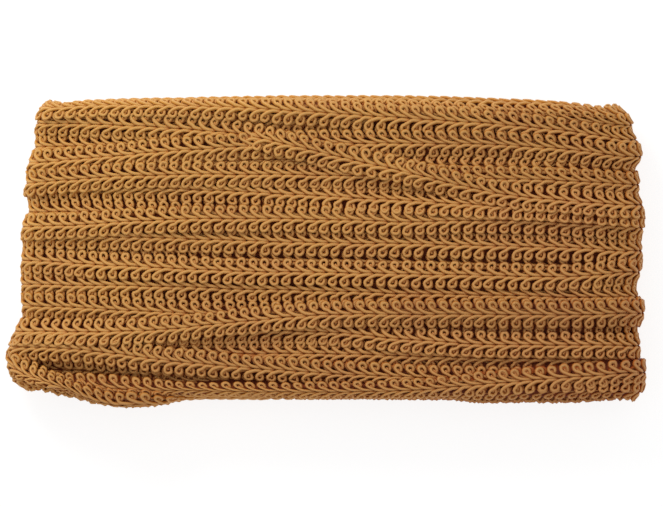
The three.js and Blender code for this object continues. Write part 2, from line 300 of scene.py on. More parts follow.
def eased(values, times=4):
    """Values evened out with their neighbours."""
    for _ in range(times):
        padded = np.concatenate([values[:1], values, values[-1:]])
        values = (padded[:-2] + 2 * padded[1:-1] + padded[2:]) / 4
    return values


def upper_path(row):
    """The way across the pack at every column, for one row of the table of turns."""
    ys = np.interp(ROUGH_LEFT + ROUGH_LONG * COLUMNS, PLACES, row)
    for _ in range(2):
        left, right = ends_at(ys)
        xs = left + COLUMNS * (right - left)
        line = smooth_line(np.stack([PLACES, row], 1), 12)
        ys = np.interp(xs, line[:, 0], line[:, 1])
    return across_from_y(xs, ys)


def stack(paths):
    """Heights across the pack, and for each turn the height and slope of its bed."""
    tucked = {}
    for name in paths:
        if name == "a":
            tucked["b"] = paths["b"]
        if name != "b":
            tucked[name] = paths[name]
    heights, beds = stack_in_order(paths)
    left_heights, left_beds = stack_in_order(tucked)
    left = COLUMNS < TUCKED_TO
    joined = {name: tuple(eased(np.where(left, tuck, bed))
                          for tuck, bed in zip(left_beds[name], beds[name]))
              for name in paths}
    return np.where(left[:, None], left_heights, heights), joined


def stack_in_order(paths):
    """One turn after the other laid on a table of heights."""
    heights = np.zeros((len(COLUMNS), len(ACROSS)))
    beds = {}
    for name, path in paths.items():
        away = ACROSS[None, :] - path[:, None]
        inside = np.abs(away) <= BRAID_WIDTH / 2
        count = inside.sum(1)
        level = (heights * inside).sum(1) / count
        slope = (heights * away * inside).sum(1) / (away ** 2 * inside).sum(1)
        lift, least = RAISED.get(name, (0, -STEEPEST))
        level, slope = eased(level + lift), eased(np.clip(slope, least, STEEPEST))
        crown = BRAID_THICK * (1 - np.minimum(1, np.abs(away) / (BRAID_WIDTH / 2)) ** CROWN)
        top = level[:, None] + slope[:, None] * away + crown
        heights = np.where(inside, np.maximum(heights, top), heights)
        beds[name] = (level, slope)
    return heights, beds


def widely(heights):
    """The wide rise and fall of a table of heights."""
    wide = int(LEVEL_OVER / CELL)
    padded = np.pad(heights, ((0, 0), (wide, wide)), mode="edge")
    total = np.cumsum(np.pad(padded, ((0, 0), (1, 0))), axis=1)
    return (total[:, 2 * wide + 1:] - total[:, :-2 * wide - 1]) / (2 * wide + 1)


UPPER_PATH = {name: upper_path(row) for name, row in TURNS.items()}
slack_line = smooth_line(SLACK, 8)
UPPER_PATH["slack"] = np.interp(SLACK_FROM + SLACK_LONG * COLUMNS, slack_line[:, 0],
                                slack_line[:, 1])
UPPER_PATH["edge_top"] = UPPER_PATH["edge_top"] + TOP_TURN_OVER
ORDER = sorted(TURNS, key=lambda name: -TURNS[name][0])       # as the strand is wound
NEXT = {name: ORDER[min(len(ORDER) - 1, k + 1)] for k, name in enumerate(ORDER)}
UNDER_PATH = {name: UPPER_PATH[NEXT[name]][0]
              + COLUMNS * (UPPER_PATH[name][-1] - UPPER_PATH[NEXT[name]][0]) for name in TURNS}
UPPER, UPPER_BEDS = stack(UPPER_PATH)
UNDER, UNDER_BEDS = stack(UNDER_PATH)
UPPER_WIDE, UNDER_WIDE = widely(UPPER), widely(UNDER)
print("stack, mm: highest", round(UPPER.max(), 1), "mean", round(UPPER.mean(), 1))


def look_up(table, share, v):
    """A table of heights read between its columns and rows."""
    i = np.clip(share * (len(COLUMNS) - 1), 0, len(COLUMNS) - 1.001)
    j = np.clip((v - ACROSS[0]) / CELL, 0, len(ACROSS) - 1.001)
    i0, j0 = i.astype(int), j.astype(int)
    fi, fj = i - i0, j - j0
    return ((1 - fi) * ((1 - fj) * table[i0, j0] + fj * table[i0, j0 + 1])
            + fi * ((1 - fj) * table[i0 + 1, j0] + fj * table[i0 + 1, j0 + 1]))


def face_height(under, share, v, upper_table, under_table):
    """Height over either face; near the ends the under face takes over what the upper one has."""
    upper = look_up(upper_table, share, v)
    near = look_up(upper_table, np.where(share < 0.5, 0.0, 1.0), v)
    w = near_end(share, END_BLEND)
    below = w * near + (1 - w) * look_up(under_table, share, v)
    return np.where(under, below, upper)


# %% [markdown]
# ## One strand, wound from the top turn to the bottom one
# The stations of all the turns are joined into one long path. At each station it holds how far
# round the pack the strand is, how far across, and the bed it rests on. With the length run so
# far kept beside them, a scroll's place along the braid is all that is needed to find its place
# on the pack.

# %% The path of the strand
HALF_STEPS = 420
TURN_SHARE = 0.5 - 0.5 * np.cos(np.linspace(0, math.pi, HALF_STEPS, endpoint=False))


def wound_path():
    """Around, across, bed level, slope and looseness at every station of the strand."""
    rows = []
    for k, name in enumerate(ORDER):
        level, slope = (np.interp(TURN_SHARE, COLUMNS, c) for c in UPPER_BEDS[name])
        loose = np.minimum(TURN_SHARE / LOOSE_START, (LOOSE_END - TURN_SHARE) / LOOSE_FADE)
        loose = np.clip(loose, 0, 1) * (name == "slack")
        rows.append(np.stack([2 * k + TURN_SHARE, np.interp(TURN_SHARE, COLUMNS, UPPER_PATH[name]),
                              level, slope, loose], 1))
        share = 1 - TURN_SHARE
        w = near_end(share, END_BLEND)
        after = NEXT[name] if k + 1 < len(ORDER) else name
        parts = []
        for index in (0, 1):
            own = np.interp(share, COLUMNS, UNDER_BEDS[name][index])
            end = np.where(share > 0.5, UPPER_BEDS[name][index][-1], UPPER_BEDS[after][index][0])
            parts.append(w * end + (1 - w) * own)
        rows.append(np.stack([2 * k + 1 + TURN_SHARE,
                              np.interp(share, COLUMNS, UNDER_PATH[name])] + parts + [0 * share],
                             1))
    return np.vstack(rows)


def place_of(around):
    """Which face a station is on, and how far along the pack from its left end."""
    half = np.floor(around).astype(int)
    under = half % 2 == 1
    share = around - half
    return under, np.where(under, 1 - share, share)


def measured(path):
    """A path with its lengths: run round the pack, lean of the strand, and run along it."""
    points, _ = pack_point(*place_of(path[:, 0]), path[:, 1])
    step = np.diff(points, axis=0)
    round_run = np.concatenate([[0], np.cumsum(np.hypot(step[:, 0], step[:, 2]))])
    lean = np.arctan2(np.gradient(path[:, 1]), np.gradient(round_run) + 1e-9)
    steps = np.hypot(np.diff(round_run), np.diff(path[:, 1]))
    middle = (points[1:, 0] + points[:-1, 0]) / 2
    tighter = 1 + PITCH_DRIFT * middle / HALF_LENGTH
    return {"around": path[:, 0], "across": path[:, 1], "level": path[:, 2], "slope": path[:, 3],
            "loose": path[:, 4], "round_run": round_run, "lean": eased(lean, 12),
            "run": np.concatenate([[0], np.cumsum(steps / tighter)])}


STRAND = measured(wound_path())
print("length of the outside turns, m:", round(STRAND["run"][-1] / 1000, 2))


# %% [markdown]
# ## One repeat of the braid
# A repeat is one scroll above the spine and one below it. The upper scroll's tail leaves the spine,
# runs back past the next scroll and curls over into a ring that tucks under its own tail. The
# lower one dips from the spine and rolls inwards, so that its end shows inside the ring. Both are
# cords along a smooth line. A grid is rolled into a tube along that line, which also gives the tube
# its map of lengthways and round-about, wanted later for the wrapped thread.

# %% The two scrolls, as lines (along, across, height) in millimetres
PITCH = 4.25
CORD = 0.70                              # radius of the cord
TAPER, TAPER_FROM = 0.25, 0.78           # how much it thins towards its tucked-in end, from where
CORD_TIP, CORD_FLAT = 0.8, 0.92          # its share of the radius at the two tips, and its height
BEND_SHARE = 1.3                         # how much closer the steps stand where the cord turns
REPEATS = 7                              # in one unit
DETAIL = {"fine": (20, 21, 5), "plain": (12, 13, 4)}     # steps up, steps down, sides of the cord
SHAKE = {"upper": 0.12, "lower": 0.17}   # how far the points of a scroll stray
SIZE_SPREAD, TURN_SPREAD, DRIFT = 0.08, 0.28, (0.22, 0.15)     # the same for a whole scroll
RING_MIDDLE, RING_FROM = 3.2, 5          # how far out its ring is, and the first point on it
STEM_SHARE, SHAKE_HIGH = 0.35, 0.4       # how much less its tail strays, and its height
UPPER_SCROLL = [
    (5.9, 0.66, 0.35), (4.9, 0.54, 0.52), (4.0, 0.54, 0.78), (2.8, 0.66, 1.06),
    (1.6, 0.98, 1.26), (0.45, 1.58, 1.30), (-0.52, 2.30, 1.14), (-1.06, 3.05, 0.98),
    (-1.02, 3.82, 0.88), (-0.46, 4.36, 0.84), (0.34, 4.42, 0.82), (1.00, 3.98, 0.78),
    (1.22, 3.22, 0.72), (0.98, 2.50, 0.64), (0.46, 2.20, 0.62), (0.08, 2.68, 0.68),
    (0.06, 3.24, 0.70)]
LOWER_SCROLL = [
    (6.5, -0.54, 0.35), (5.24, -0.52, 0.55), (3.80, -0.46, 0.98), (2.45, -0.52, 1.22),
    (1.50, -0.92, 1.32), (0.62, -1.52, 1.30), (-0.38, -2.02, 1.14), (-1.08, -2.66, 0.98),
    (-1.22, -3.44, 0.86), (-0.74, -4.14, 0.80), (0.06, -4.42, 0.78), (0.86, -4.08, 0.76),
    (1.26, -3.28, 0.70), (1.22, -2.46, 0.60), (0.86, -1.92, 0.52), (0.42, -2.04, 0.54),
    (0.08, -2.60, 0.66), (0.10, -3.16, 0.74)]


def resampled(line, count):
    """Points of a smooth line, closer where it bends, and their directions."""
    fine = smooth_line(line, 12)
    step = np.diff(fine, axis=0)
    length = np.linalg.norm(step, axis=1)
    heading = np.unwrap(np.arctan2(step[:, 1], step[:, 0]))
    run = np.concatenate([[0], np.cumsum(length + BEND_SHARE * np.abs(np.gradient(heading)))])
    at = np.linspace(0, run[-1], count)
    pts = np.stack([np.interp(at, run, fine[:, k]) for k in range(3)], 1)
    way = np.gradient(pts, axis=0)
    return pts, way / np.linalg.norm(way, axis=1)[:, None]


def add_cord(bm, line, count, sides, radius):
    """One cord of the repeat: a grid rolled into a tube along the line, its ends closed."""
    pts, way = resampled(line, count)
    grid = bmesh.ops.create_grid(bm, x_segments=count - 1, y_segments=sides, size=0.5,
                                 calc_uvs=True)["verts"]
    for v in grid:
        at = min(count - 1, int(round((v.co.x + 0.5) * (count - 1))))
        turn = 2 * math.pi * (v.co.y + 0.5)
        c, t = pts[at], way[at]
        flat_side = Vector((-t[1], t[0], 0)).normalized()
        up = Vector(t).cross(flat_side)
        inner = max(0, at / (count - 1) - TAPER_FROM) / (1 - TAPER_FROM)
        r = radius * (CORD_TIP if at in (0, count - 1) else 1) * (1 - TAPER * inner)
        v.co = Vector(c) + r * (math.cos(turn) * flat_side - math.sin(turn) * up * CORD_FLAT)
    bmesh.ops.remove_doubles(bm, verts=grid, dist=1e-4)
    rim = [e for v in grid if v.is_valid for e in v.link_edges if e.is_boundary]
    bmesh.ops.holes_fill(bm, edges=list(set(rim)), sides=sides)


def shaken(line, rng, amount):
    """The line of a scroll as the hand or the machine makes it, never twice the same."""
    grow, turn = rng.uniform(-SIZE_SPREAD, SIZE_SPREAD), rng.uniform(-TURN_SPREAD, TURN_SPREAD)
    mid = np.array([0.0, RING_MIDDLE * np.sign(line[RING_FROM][1]), 0.0])
    moved = []
    for k, point in enumerate(np.asarray(line, float)):
        ring = 1.0 if k >= RING_FROM else STEM_SHARE
        off = point - mid
        swing = ring * turn * np.array([-off[1], off[0], 0]) if k >= RING_FROM else 0
        p = point + ring * off * np.array([grow, grow, 0]) + swing
        stray = [rng.uniform(-1, 1), rng.uniform(-1, 1), SHAKE_HIGH * rng.uniform(-1, 1)]
        moved.append(p + ring * amount * np.array(stray))
    return np.array(moved) + np.array([rng.uniform(-far, far) for far in DRIFT] + [0])


def braid_unit(name, detail, seed, rows):
    """A short length of flat braid, with repeats that each differ a little."""
    upper_count, lower_count, sides = DETAIL[detail]
    rng = random.Random(seed)
    bm = bmesh.new()
    bm.loops.layers.uv.new("UVMap")
    for k in range(REPEATS):
        here = np.array([k * PITCH, 0, 0])
        if rows != "lower":
            add_cord(bm, shaken(UPPER_SCROLL, rng, SHAKE["upper"]) + here, upper_count, sides,
                     CORD)
        if rows != "upper":
            add_cord(bm, shaken(LOWER_SCROLL, rng, SHAKE["lower"]) + here, lower_count, sides,
                     CORD)
    bmesh.ops.triangulate(bm, faces=[f for f in bm.faces if len(f.verts) > 4])
    mesh = bpy.data.meshes.new(name)
    bm.to_mesh(mesh)
    bm.free()
    return bpy.data.objects.new(name, mesh)


# %% [markdown]
# ## Laying the braid on the pack
# An Array modifier repeats the flat unit along a straight line. Every point of that straight braid
# is then moved to its place on the pack: along the line becomes along the strand, the sideways part
# goes across, and the height goes outwards from the bed. Scrolls that lie buried under two turns
# or more are taken out, as nobody can see them.

# %% From the straight braid to the wound one
STIFF_AT = 50.5          # a loose turn bends no further round the long edge than this
STIFF_TILT, BENT_TILT = (0.98, 0.2), (0.12, 0.96)      # out and down, up to the spine and past it
ROLL_RELIEF = 0.85       # how much less the beds sink where the faces roll over
END_RELIEF = 0.55        # share of the sinking that is left where the turns double back
END_OUT = 2.0            # and how much further they stand out there
END_TIP = 0.03           # share of the length over which both come in
UNDER_PRESS = 1.3        # how far the under face is pressed down
PRESS_FROM = 0.05        # share of the length over which that comes in
UNDER_OTHERS = 0.25      # share of the depth under other turns that darkens a cord with painted shade
DEEPEST = 4              # depth under other turns beyond which its painted shade gets no darker
BURIED = 1.6             # a scroll that lies deeper than this under others is left out
ALL_SHOWN = 12           # deeper than any scroll lies
SCROLL_OF = {}           # by unit: the number of the scroll that each of its points is on


def overhang(beyond, sideways):
    """The part of a loose turn past the held line, split at its spine."""
    past_spine = np.where(beyond < 0, np.minimum(0, sideways), np.maximum(0, sideways))
    bent = np.sign(beyond) * np.minimum(np.abs(beyond), np.abs(past_spine))
    return beyond - bent, bent


def laid(strand, along, sideways, height):
    """Points on the pack for points of a strand, and how deep it lies under the top turns."""
    at = {key: np.interp(along, strand["run"], strand[key])
          for key in ("round_run", "lean", "across", "level", "slope", "loose")}
    across = at["across"] + sideways * np.cos(at["lean"])
    around = np.interp(at["round_run"] - sideways * np.sin(at["lean"]), strand["round_run"],
                       strand["around"])
    level, slope = at["level"], at["slope"]
    under, share = place_of(around)
    bed = level + slope * sideways
    wide = face_height(under, share, across, UPPER_WIDE, UNDER_WIDE)
    held = across + at["loose"] * (np.clip(across, -STIFF_AT, STIFF_AT) - across)
    # how far the point lies under the smooth face, less so round the edges and at the ends
    top_sink = CREST - (bed + BRAID_THICK - LEVELLING * wide)
    tip = near_end(share, END_TIP)
    factor = (1 - tip * (1 - END_RELIEF)) * (1 - ROLL_RELIEF * roll_share(held))
    sink = top_sink * factor + (BRAID_THICK - height) - END_OUT * tip
    points, out = pack_point(under, share, held)
    points = points - out * sink[:, None]
    # a loose turn stands off the pack, and what is past the long edge hangs down, nearly stiff
    points[:, 2] += SLACK_LIFT * at["loose"]
    flat, bent = overhang(across - held, sideways)
    points[:, 1] += STIFF_TILT[0] * flat + BENT_TILT[0] * bent
    points[:, 2] -= STIFF_TILT[1] * np.abs(flat) + BENT_TILT[1] * np.abs(bent)
    # the under face is pressed flat by the floor
    press = UNDER_PRESS * np.minimum(1, np.minimum(share, 1 - share) / PRESS_FROM)
    points[:, 2] -= np.where(under, press, 0)
    points[:, 2] = np.maximum(points[:, 2], 0.0)
    covered = face_height(under, share, across, UPPER, UNDER) - (bed + BRAID_THICK)
    return points, covered


def straight_braid(unit, copies):
    """The unit repeated along a straight line, as a mesh."""
    bpy.context.scene.collection.objects.link(unit)
    array = unit.modifiers.new("repeat", "ARRAY")
    array.use_relative_offset = False
    array.use_constant_offset = True
    array.constant_offset_displace = (REPEATS * PITCH, 0, 0)
    array.count = copies
    graph = bpy.context.evaluated_depsgraph_get()
    mesh = bpy.data.meshes.new_from_object(unit.evaluated_get(graph), depsgraph=graph)
    unit.modifiers.remove(array)
    bpy.context.scene.collection.objects.unlink(unit)
    return mesh


def read_points(mesh):
    """The points of a mesh, one a row."""
    co = np.empty(len(mesh.vertices) * 3)
    mesh.vertices.foreach_get("co", co)
    return co.reshape(-1, 3)


def keep_only(mesh, keep):
    """The mesh without the points that aren't kept."""
    bm = bmesh.new()
    bm.from_mesh(mesh)
    bm.verts.ensure_lookup_table()
    gone = [bm.verts[i] for i in np.flatnonzero(~keep)]
    bmesh.ops.delete(bm, geom=gone, context="VERTS")
    bm.to_mesh(mesh)
    bm.free()


def wound_piece(name, unit, lay, start, stop, buried=BURIED):
    """A piece of a strand between two lengths along it, laid on the pack."""
    repeats = max(1, round((stop - start) / PITCH))
    mesh = straight_braid(unit, math.ceil(repeats / REPEATS))
    co = read_points(mesh)
    scroll_of = SCROLL_OF[unit.name]
    scrolls_a_copy = scroll_of.max() + 1
    copy = np.arange(len(co)) // len(scroll_of)
    scroll = scroll_of[np.arange(len(co)) % len(scroll_of)] + copy * scrolls_a_copy
    per_repeat = scrolls_a_copy // REPEATS
    along = start + co[:, 0] * (stop - start) / (repeats * PITCH)
    points, covered = lay(along, co[:, 1], co[:, 2])
    total = scroll.max() + 1
    least = np.full(total, 1e9)
    np.minimum.at(least, scroll, covered)
    show = (least < buried) & (np.arange(total) // per_repeat < repeats)
    mesh.vertices.foreach_set("co", (points * MM).ravel())
    # painted shade: the lower sides of the cords, and cords under other turns, are darkened by this
    # depth
    shade_depth = BRAID_THICK - co[:, 2] + UNDER_OTHERS * np.clip(covered, -DEEPEST, DEEPEST)
    lie = mesh.attributes.new("shade_depth", "FLOAT", "POINT")
    lie.data.foreach_set("value", shade_depth.astype(np.float32))
    keep_only(mesh, show[scroll])
    mesh.polygons.foreach_set("use_smooth", [True] * len(mesh.polygons))
    piece = bpy.data.objects.new(name, mesh)
    bpy.context.scene.collection.objects.link(piece)
    return piece


def scroll_index(unit):
    """For each point of a unit, the number of the scroll it belongs to."""
    bm = bmesh.new()
    bm.from_mesh(unit.data)
    bm.verts.ensure_lookup_table()
    number, index = 0, np.full(len(bm.verts), -1)
    for v in bm.verts:
        if index[v.index] >= 0:
            continue
        reach = [v]
        index[v.index] = number
        while reach:
            for e in reach.pop().link_edges:
                for w in e.verts:
                    if index[w.index] < 0:
                        index[w.index] = number
                        reach.append(w)
        number += 1
    bm.free()
    return index


def unit_of(name, detail, seed, rows="both"):
    """A unit of braid whose scrolls are numbered."""
    unit = braid_unit(name, detail, seed, rows)
    SCROLL_OF[name] = scroll_index(unit)
    return unit


FINE_UNITS = [unit_of(f"fine_unit_{seed}", "fine", seed) for seed in (11, 12, 13)]
PLAIN_UNITS = [unit_of(f"plain_unit_{seed}", "plain", seed) for seed in (21, 22)]
print("points in a unit:", len(FINE_UNITS[0].data.vertices), len(PLAIN_UNITS[0].data.vertices))

# %% Every turn, upper half and under half
UNDER_ENDS = 0.03        # how far past the doubling back the fine braid goes on
INNER_SHIFT = (0, 1.3, -1.9, 0, 0)       # from the slack turn to the one just inside it
INNER_SHARE = 0.33       # how far along the pack that one is made
pieces = []


def keep_piece(piece):
    """Adds a piece to the list, or drops it if all of it was buried."""
    if len(piece.data.polygons):
        pieces.append(piece)
    else:
        bpy.data.objects.remove(piece)


def on_strand(along, sideways, height):
    """Points of the long strand, laid on the pack."""
    return laid(STRAND, along, sideways, height)


def report(words):
    """Prints how many triangles the pieces have so far; most of their faces are quads."""
    print(words, 2 * sum(len(piece.data.polygons) for piece in pieces), "triangles or so")


for k, name in enumerate(ORDER):
    start, turn_end, under_end = (np.interp(2 * k + at, STRAND["around"], STRAND["run"])
                                  for at in (-UNDER_ENDS, 1 + UNDER_ENDS, 2 - UNDER_ENDS))
    under_start = turn_end
    if name == "slack":
        turn_end = np.interp(2 * k + SLACK_UNDER, STRAND["around"], STRAND["run"])
        under_start = under_end - SLACK_LEFT_OVER
    for part, units, span in (("turn", FINE_UNITS, (start, turn_end)),
                              ("under", PLAIN_UNITS, (under_start, under_end))):
        keep_piece(wound_piece(f"{part}_{name}", units[k % len(units)], on_strand, *span))

from_slack = STRAND["around"] - 2 * ORDER.index("slack")
inner_path = np.stack([STRAND[key][(from_slack > 0) & (from_slack < INNER_SHARE)]
                       for key in ("around", "across", "level", "slope", "loose")], 1)
INNER = measured(inner_path + INNER_SHIFT)
keep_piece(wound_piece("slack_inner", PLAIN_UNITS[1],
                       lambda along, sideways, height: laid(INNER, along, sideways, height),
                       0, INNER["run"][-1], buried=ALL_SHOWN))
report("turns:")

# %% [markdown]
# ## The layer below
# In the gaps between the outside turns the layer below shows. It runs nearly straight, a little
# lower than the lowest bed, and only the scrolls that a gap uncovers are kept.

# %% Turns of the layer below
BELOW_FIRST, BELOW_STEP, BELOW_STOP = 50.5, 9.2, -45
BELOW_LAST = -47.3       # the last one lies closer to the one before it
BELOW_DROP, BELOW_BURIED = 1.75, 2.2
BELOW_WRAP = 0.05        # how far past the doubling back it goes on
WANDER, WANDER_BENDS = 1.2, 5            # how far it strays to the side
ALMOST = 0.999           # keeps the stations off the very ends, where the faces meet
stations = np.concatenate([TURN_SHARE[1:] * ALMOST, [(1 + ALMOST) / 2]])
back = stations[::-1]
wrapped = np.concatenate([-back[back < BELOW_WRAP], stations, 2 - back[back > 1 - BELOW_WRAP]])
flat = np.zeros(len(wrapped))
for k, middle in enumerate([*np.arange(BELOW_FIRST, BELOW_STOP, -BELOW_STEP), BELOW_LAST]):
    wander = middle + WANDER * np.sin(WANDER_BENDS * wrapped + k)
    strand = measured(np.stack([wrapped, wander, flat - BELOW_DROP, flat, flat], 1))
    keep_piece(wound_piece(f"below_{k}", PLAIN_UNITS[k % 2],
                           lambda a, s, h, strand=strand: laid(strand, a, s, h),
                           0, strand["run"][-1], buried=BELOW_BURIED))
report("with the layer below:")

# %% [markdown]
# ## The edges of the layers
# On the two long sides one sees the turns edge on: row above row of scrolls. Each of them is a loop
# inside the outside turns, so the same profile is used, squeezed towards the middle layer.

# %% Layer edges on the long sides
SQUEEZES = (0.46, 0.37, 0.28, 0.18, 0.08)              # height of each loop, as a share
UNSQUEEZED = 0.48        # at this share a loop isn't drawn in at the ends
EDGE_IN = {1: 1.2, -1: 0.9}              # how far inside the outside turns the loops lie
EDGE_FACING = 0.99       # they face as the flat face does, this near to where it rolls over
EDGE_LIGHT = -2.6        # they stand in the light, so they count as less deep and get less painted shade
SIDE_UNITS = {1: unit_of("side_unit_up", "plain", 31, "upper"),
              -1: unit_of("side_unit_down", "plain", 32, "lower")}


def edge_loop(side, squeeze):
    """A function that lays braid along one loop of a long side, and the loop's length."""
    around = np.concatenate([TURN_SHARE, 1 + TURN_SHARE, [2 - 1e-6]])
    under, share = place_of(around)
    base, _ = pack_point(under, share, np.full(len(around), side * REACH), squeeze)
    _, facing = pack_point(under, share, np.full(len(around), side * FLAT_HALF * EDGE_FACING))
    base[:, 0] *= 1 - (UNSQUEEZED - squeeze) * TOP_Z / HALF_LENGTH
    step = np.linalg.norm(np.diff(base, axis=0)[:, [0, 2]], axis=1)
    run = np.concatenate([[0], np.cumsum(step)])

    def lay(along, sideways, height):
        along = np.mod(along, run[-1])
        points = np.stack([np.interp(along, run, base[:, c]) for c in range(3)], 1)
        out = np.stack([np.interp(along, run, facing[:, c]) for c in range(3)], 1)
        points = points + out * (height - BRAID_THICK / 2)[:, None]
        points[:, 1] += side * (np.abs(sideways) - BRAID_WIDTH / 2 - EDGE_IN[side])
        return points, np.full(len(along), EDGE_LIGHT)
    return lay, run[-1]


for side in (1, -1):
    for k, squeeze in enumerate(SQUEEZES):
        lay, length = edge_loop(side, squeeze)
        word = "top" if side > 0 else "low"
        keep_piece(wound_piece(f"layer_{word}_{k}", SIDE_UNITS[side], lay, 0, length,
                               buried=ALL_SHOWN))
report("with the layer edges:")

# %% [markdown]
# ## The body inside
# Between the cords one looks into the pack and sees deeper braid in shade. A copy of the
# solid, drawn in to just under the top turns, closes the view there. Its finish is painted
# shade: a dark red brown.

# %% The body, drawn in under the cords
BODY_IN, BODY_RIM_OUT = 3.0, 1.8         # how far in on the faces, and how much less at the rim
BODY_LOWEST, BODY_SMOOTH = 0.8, 0.4      # it stays this far off the floor, and is smoothed
body_mesh = frame["nodes"]["wound_braid"].data.copy()
body_mesh.name = "pack_body"
bm = bmesh.new()
bm.from_mesh(body_mesh)
bmesh.ops.remove_doubles(bm, verts=bm.verts[:], dist=1e-6)
bmesh.ops.recalc_face_normals(bm, faces=bm.faces[:])
bm.normal_update()
for v in bm.verts:
    v.co -= v.normal * (BODY_IN - BODY_RIM_OUT * (1 - v.normal.z ** 2)) * MM
    v.co.z = max(v.co.z, BODY_LOWEST * MM)
bmesh.ops.smooth_vert(bm, verts=bm.verts[:], factor=BODY_SMOOTH, use_axis_x=True,
                      use_axis_y=True, use_axis_z=True)
bm.to_mesh(body_mesh)
bm.free()
body = bpy.data.objects.new("pack_body", body_mesh)
bpy.context.scene.collection.objects.link(body)
print("body:", len(body_mesh.polygons), "faces")

# %% [markdown]
# ## Finish
# The cord is a matt rayon wrapped round a core, a warm mustard gold. Light and shade are painted
# into its colour: painted shade turns it a deep red brown between the cords, by how deep a point
# lies, which was kept on the pieces while they were laid; painted shade turns it browner towards
# the lower right, away from the key lamp; and a painted highlight runs along the crest of each
# cord. Fine wrapped ridges run round the cord.

# %% Materials
def srgb(r, g, b):
    """A colour read on a screen, as the shader wants it."""
    return tuple(((c / 255 + 0.055) / 1.055) ** 2.4 if c > 10 else c / 255 / 12.92
                 for c in (r, g, b)) + (1.0,)


def new_material(name):
    """A material with a Principled shader, its node tree and that shader."""
    material = bpy.data.materials.new(name)
    material.use_nodes = True
    tree = material.node_tree
    tree.nodes.clear()
    out = tree.nodes.new("ShaderNodeOutputMaterial")
    shader = tree.nodes.new("ShaderNodeBsdfPrincipled")
    tree.links.new(shader.outputs["BSDF"], out.inputs["Surface"])
    return material, tree, shader


# the brown is painted shade towards the lower right, away from the key lamp; the deep colour is
# painted shade between the cords
GOLD, SHADED_BROWN, GAP_SHADE = srgb(213, 149, 54), srgb(168, 85, 13), srgb(168, 70, 6)
# painted highlight along the crest of each cord, and how much of it shows
CREST_HIGHLIGHT, HIGHLIGHT_SHARE = srgb(238, 190, 126), 0.5
# the body's colours are painted shade, dark red brown where one looks between the cords
BODY_SHADE_RAMP = (srgb(146, 62, 7), srgb(104, 38, 3))
TO_SHADED_BROWN = (2.6, -4.2, 0)                # the way, per metre, in which gold passes into brown: painted shade, darker away from the key lamp
PATCH_SCALE, PATCH_SHARE = 55, 0.9       # patches of a lighter and darker dye
SHADE_FADE = (0.3, 1.8)                        # depths in mm between which painted shade darkens the cord
CORD_TOP = 0.75          # where round the cord, on its map, the side lies that looks outwards
HIGHLIGHT_OUT, HIGHLIGHT_IN = 0.24, 0.02         # how far from there the painted highlight on the crest ends, and is full
WRAPPING = (14.0, 0.31, 1)               # threads along the cord's map, and their slant round it
WRAP_STRENGTH, WRAP_HIGH = 0.25, 0.08 * MM             # of their bump
MOTTLE, DARK_FROM = 480, 0.6             # cells a metre in the body's painted shade, and how soon they darken


def colour_mix(nodes):
    """A mix of two colours."""
    mix = nodes.new("ShaderNodeMix")
    mix.data_type = "RGBA"
    return mix


def soft_step(nodes, low, high):
    """A smooth rise from 0 to 1 between two values."""
    step = nodes.new("ShaderNodeMapRange")
    step.interpolation_type = "SMOOTHSTEP"
    step.inputs["From Min"].default_value = low
    step.inputs["From Max"].default_value = high
    return step


def math_node(nodes, operation, kind="ShaderNodeMath"):
    """A node that reckons with values, or with vectors."""
    node = nodes.new(kind)
    node.operation = operation
    return node


